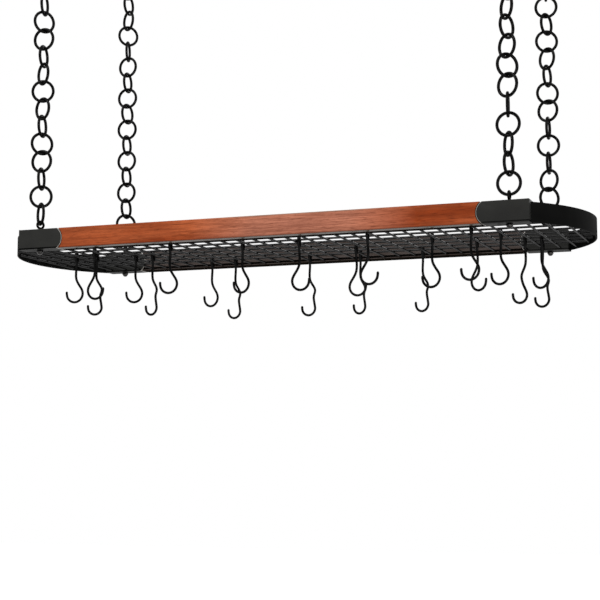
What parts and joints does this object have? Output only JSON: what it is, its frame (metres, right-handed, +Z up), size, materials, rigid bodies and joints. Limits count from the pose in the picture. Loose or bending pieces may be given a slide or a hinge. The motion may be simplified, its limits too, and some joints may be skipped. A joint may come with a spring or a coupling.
{
  "type": "hanging pot rack",
  "caption": "Ceiling-hung pot rack: wood rails, curved steel end straps, a wire grid with pot hooks, and ring chains.",
  "frame": {"origin": "on the ceiling plane, at the centre of the four ceiling hooks", "axes": "+X along the wood rails, +Y from the front rail to the back rail, +Z up into the ceiling"},
  "size_m": [1.139, 0.398, 0.8208],
  "materials": {
    "wood": "satin lacquered reddish brown wood",
    "cap_metal": "dark graphite powder coat",
    "strap_metal": "near black powder coat",
    "wire_metal": "black satin paint",
    "nut_metal": "dark semi-gloss plating"
  },
  "bodies": {
    "ceiling_hooks": {"ceiling_hook_front_left": "strap_metal", "ceiling_hook_front_right": "strap_metal", "ceiling_hook_back_left": "strap_metal", "ceiling_hook_back_right": "strap_metal"},
    "top_ring_front_left": {"top_ring_front_left": "wire_metal"},
    "chain_front_left": {"chain_front_left": "wire_metal"},
    "bottom_ring_front_left": {"bottom_ring_front_left": "wire_metal"},
    "top_ring_front_right": {"top_ring_front_right": "wire_metal"},
    "chain_front_right": {"chain_front_right": "wire_metal"},
    "bottom_ring_front_right": {"bottom_ring_front_right": "wire_metal"},
    "top_ring_back_left": {"top_ring_back_left": "wire_metal"},
    "chain_back_left": {"chain_back_left": "wire_metal"},
    "bottom_ring_back_left": {"bottom_ring_back_left": "wire_metal"},
    "top_ring_back_right": {"top_ring_back_right": "wire_metal"},
    "chain_back_right": {"chain_back_right": "wire_metal"},
    "bottom_ring_back_right": {"bottom_ring_back_right": "wire_metal"},
    "rack": {"front_rail": "wood", "back_rail": "wood", "cap_front_left": "cap_metal", "cap_front_right": "cap_metal", "cap_back_left": "cap_metal", "cap_back_right": "cap_metal", "end_strap_left": "strap_metal", "end_strap_right": "strap_metal", "wire_grid": "wire_metal", "eye_bolt_front_left": "strap_metal", "cap_nut_front_left": "nut_metal", "eye_bolt_front_right": "strap_metal", "cap_nut_front_right": "nut_metal", "eye_bolt_back_left": "strap_metal", "cap_nut_back_left": "nut_metal", "eye_bolt_back_right": "strap_metal", "cap_nut_back_right": "nut_metal"},
    "short_hook_01": {"short_hook_01": "wire_metal"},
    "short_hook_02": {"short_hook_02": "wire_metal"},
    "short_hook_03": {"short_hook_03": "wire_metal"},
    "short_hook_04": {"short_hook_04": "wire_metal"},
    "short_hook_05": {"short_hook_05": "wire_metal"},
    "short_hook_06": {"short_hook_06": "wire_metal"},
    "short_hook_07": {"short_hook_07": "wire_metal"},
    "short_hook_08": {"short_hook_08": "wire_metal"},
    "short_hook_09": {"short_hook_09": "wire_metal"},
    "short_hook_10": {"short_hook_10": "wire_metal"},
    "short_hook_11": {"short_hook_11": "wire_metal"},
    "short_hook_12": {"short_hook_12": "wire_metal"},
    "short_hook_13": {"short_hook_13": "wire_metal"},
    "short_hook_14": {"short_hook_14": "wire_metal"},
    "long_hook_01": {"long_hook_01": "wire_metal"},
    "long_hook_02": {"long_hook_02": "wire_metal"},
    "long_hook_03": {"long_hook_03": "wire_metal"},
    "long_hook_04": {"long_hook_04": "wire_metal"},
    "long_hook_05": {"long_hook_05": "wire_metal"},
    "long_hook_06": {"long_hook_06": "wire_metal"},
    "long_hook_07": {"long_hook_07": "wire_metal"},
    "long_hook_08": {"long_hook_08": "wire_metal"}
  },
  "joints": [
    {"name": "sway_along_front_left", "type": "hinge", "parent": "ceiling_hooks", "child": "top_ring_front_left", "pos_m": [-0.454, -0.1775, -0.0355], "axis": [0, 1, 0], "range_deg": [-12, 12]},
    {"name": "sway_across_front_left", "type": "hinge", "parent": "top_ring_front_left", "child": "chain_front_left", "pos_m": [-0.454, -0.1775, -0.0695], "axis": [1, 0, 0], "range_deg": [-10, 10]},
    {"name": "lower_across_front_left", "type": "hinge", "parent": "chain_front_left", "child": "bottom_ring_front_left", "pos_m": [-0.454, -0.1775, -0.5775], "axis": [1, 0, 0], "range_deg": [-10, 10]},
    {"name": "sway_along_front_right", "type": "hinge", "parent": "ceiling_hooks", "child": "top_ring_front_right", "pos_m": [0.454, -0.1775, -0.0355], "axis": [0, 1, 0], "range_deg": [-12, 12]},
    {"name": "sway_across_front_right", "type": "hinge", "parent": "top_ring_front_right", "child": "chain_front_right", "pos_m": [0.454, -0.1775, -0.0695], "axis": [1, 0, 0], "range_deg": [-10, 10]},
    {"name": "lower_across_front_right", "type": "hinge", "parent": "chain_front_right", "child": "bottom_ring_front_right", "pos_m": [0.454, -0.1775, -0.5775], "axis": [1, 0, 0], "range_deg": [-10, 10]},
    {"name": "sway_along_back_left", "type": "hinge", "parent": "ceiling_hooks", "child": "top_ring_back_left", "pos_m": [-0.454, 0.1775, -0.0355], "axis": [0, 1, 0], "range_deg": [-12, 12]},
    {"name": "sway_across_back_left", "type": "hinge", "parent": "top_ring_back_left", "child": "chain_back_left", "pos_m": [-0.454, 0.1775, -0.0695], "axis": [1, 0, 0], "range_deg": [-10, 10]},
    {"name": "lower_across_back_left", "type": "hinge", "parent": "chain_back_left", "child": "bottom_ring_back_left", "pos_m": [-0.454, 0.1775, -0.5775], "axis": [1, 0, 0], "range_deg": [-10, 10]},
    {"name": "sway_along_back_right", "type": "hinge", "parent": "ceiling_hooks", "child": "top_ring_back_right", "pos_m": [0.454, 0.1775, -0.0355], "axis": [0, 1, 0], "range_deg": [-12, 12]},
    {"name": "sway_across_back_right", "type": "hinge", "parent": "top_ring_back_right", "child": "chain_back_right", "pos_m": [0.454, 0.1775, -0.0695], "axis": [1, 0, 0], "range_deg": [-10, 10]},
    {"name": "lower_across_back_right", "type": "hinge", "parent": "chain_back_right", "child": "bottom_ring_back_right", "pos_m": [0.454, 0.1775, -0.5775], "axis": [1, 0, 0], "range_deg": [-10, 10]},
    {"name": "rack_on_front_left_ring", "type": "hinge", "parent": "bottom_ring_front_left", "child": "rack", "pos_m": [-0.454, -0.1775, -0.6117], "axis": [0, 1, 0], "range_deg": [-12, 12]},
    {"name": "short_hook_01_swing", "type": "hinge", "parent": "rack", "child": "short_hook_01", "pos_m": [-0.45064, -0.04038, -0.659], "axis": [1, 0, 0], "range_deg": [-20, 20]},
    {"name": "short_hook_02_swing", "type": "hinge", "parent": "rack", "child": "short_hook_02", "pos_m": [-0.38876, -0.08075, -0.659], "axis": [1, 0, 0], "range_deg": [-20, 20]},
    {"name": "short_hook_03_swing", "type": "hinge", "parent": "rack", "child": "short_hook_03", "pos_m": [-0.33957, 0, -0.659], "axis": [1, 0, 0], "range_deg": [-20, 20]},
    {"name": "short_hook_04_swing", "type": "hinge", "parent": "rack", "child": "short_hook_04", "pos_m": [-0.20691, -0.12112, -0.659], "axis": [1, 0, 0], "range_deg": [-20, 20]},
    {"name": "short_hook_05_swing", "type": "hinge", "parent": "rack", "child": "short_hook_05", "pos_m": [-0.22723, 0.12112, -0.659], "axis": [1, 0, 0], "range_deg": [-20, 20]},
    {"name": "short_hook_06_swing", "type": "hinge", "parent": "rack", "child": "short_hook_06", "pos_m": [-0.07616, -0.08075, -0.659], "axis": [1, 0, 0], "range_deg": [-20, 20]},
    {"name": "short_hook_07_swing", "type": "hinge", "parent": "rack", "child": "short_hook_07", "pos_m": [0.03681, -0.08075, -0.659], "axis": [1, 0, 0], "range_deg": [-20, 20]},
    {"name": "short_hook_08_swing", "type": "hinge", "parent": "rack", "child": "short_hook_08", "pos_m": [0.1079, 0.04038, -0.659], "axis": [1, 0, 0], "range_deg": [-20, 20]},
    {"name": "short_hook_09_swing", "type": "hinge", "parent": "rack", "child": "short_hook_09", "pos_m": [0.1828, -0.12112, -0.659], "axis": [1, 0, 0], "range_deg": [-20, 20]},
    {"name": "short_hook_10_swing", "type": "hinge", "parent": "rack", "child": "short_hook_10", "pos_m": [0.28054, -0.04038, -0.659], "axis": [1, 0, 0], "range_deg": [-20, 20]},
    {"name": "short_hook_11_swing", "type": "hinge", "parent": "rack", "child": "short_hook_11", "pos_m": [0.37321, -0.12112, -0.659], "axis": [1, 0, 0], "range_deg": [-20, 20]},
    {"name": "short_hook_12_swing", "type": "hinge", "parent": "rack", "child": "short_hook_12", "pos_m": [0.34401, 0.04038, -0.659], "axis": [1, 0, 0], "range_deg": [-20, 20]},
    {"name": "short_hook_13_swing", "type": "hinge", "parent": "rack", "child": "short_hook_13", "pos_m": [0.40748, -0.04038, -0.659], "axis": [1, 0, 0], "range_deg": [-20, 20]},
    {"name": "short_hook_14_swing", "type": "hinge", "parent": "rack", "child": "short_hook_14", "pos_m": [0.4646, 0.04038, -0.659], "axis": [1, 0, 0], "range_deg": [-20, 20]},
    {"name": "long_hook_01_swing", "type": "hinge", "parent": "rack", "child": "long_hook_01", "pos_m": [-0.40526, -0.04038, -0.659], "axis": [1, 0, 0], "range_deg": [-20, 20]},
    {"name": "long_hook_02_swing", "type": "hinge", "parent": "rack", "child": "long_hook_02", "pos_m": [-0.30244, 0, -0.659], "axis": [1, 0, 0], "range_deg": [-20, 20]},
    {"name": "long_hook_03_swing", "type": "hinge", "parent": "rack", "child": "long_hook_03", "pos_m": [-0.1755, 0.12112, -0.659], "axis": [1, 0, 0], "range_deg": [-20, 20]},
    {"name": "long_hook_04_swing", "type": "hinge", "parent": "rack", "child": "long_hook_04", "pos_m": [-0.01555, 0.12112, -0.659], "axis": [1, 0, 0], "range_deg": [-20, 20]},
    {"name": "long_hook_05_swing", "type": "hinge", "parent": "rack", "child": "long_hook_05", "pos_m": [0.09013, 0.12112, -0.659], "axis": [1, 0, 0], "range_deg": [-20, 20]},
    {"name": "long_hook_06_swing", "type": "hinge", "parent": "rack", "child": "long_hook_06", "pos_m": [0.21707, 0.12112, -0.659], "axis": [1, 0, 0], "range_deg": [-20, 20]},
    {"name": "long_hook_07_swing", "type": "hinge", "parent": "rack", "child": "long_hook_07", "pos_m": [0.43414, 0.04038, -0.659], "axis": [1, 0, 0], "range_deg": [-20, 20]},
    {"name": "long_hook_08_swing", "type": "hinge", "parent": "rack", "child": "long_hook_08", "pos_m": [0.45064, 0.12112, -0.659], "axis": [1, 0, 0], "range_deg": [-20, 20]}
  ],
  "couplings": [
    {"joint": "lower_across_front_left", "follows": "sway_across_front_left", "ratio": -1},
    {"joint": "lower_across_front_right", "follows": "sway_across_front_left", "ratio": -1},
    {"joint": "sway_along_front_right", "follows": "sway_along_front_left", "ratio": 1},
    {"joint": "sway_across_front_right", "follows": "sway_across_front_left", "ratio": 1},
    {"joint": "lower_across_back_left", "follows": "sway_across_front_left", "ratio": -1},
    {"joint": "sway_along_back_left", "follows": "sway_along_front_left", "ratio": 1},
    {"joint": "sway_across_back_left", "follows": "sway_across_front_left", "ratio": 1},
    {"joint": "lower_across_back_right", "follows": "sway_across_front_left", "ratio": -1},
    {"joint": "sway_along_back_right", "follows": "sway_along_front_left", "ratio": 1},
    {"joint": "sway_across_back_right", "follows": "sway_across_front_left", "ratio": 1},
    {"joint": "rack_on_front_left_ring", "follows": "sway_along_front_left", "ratio": -1}
  ]
}
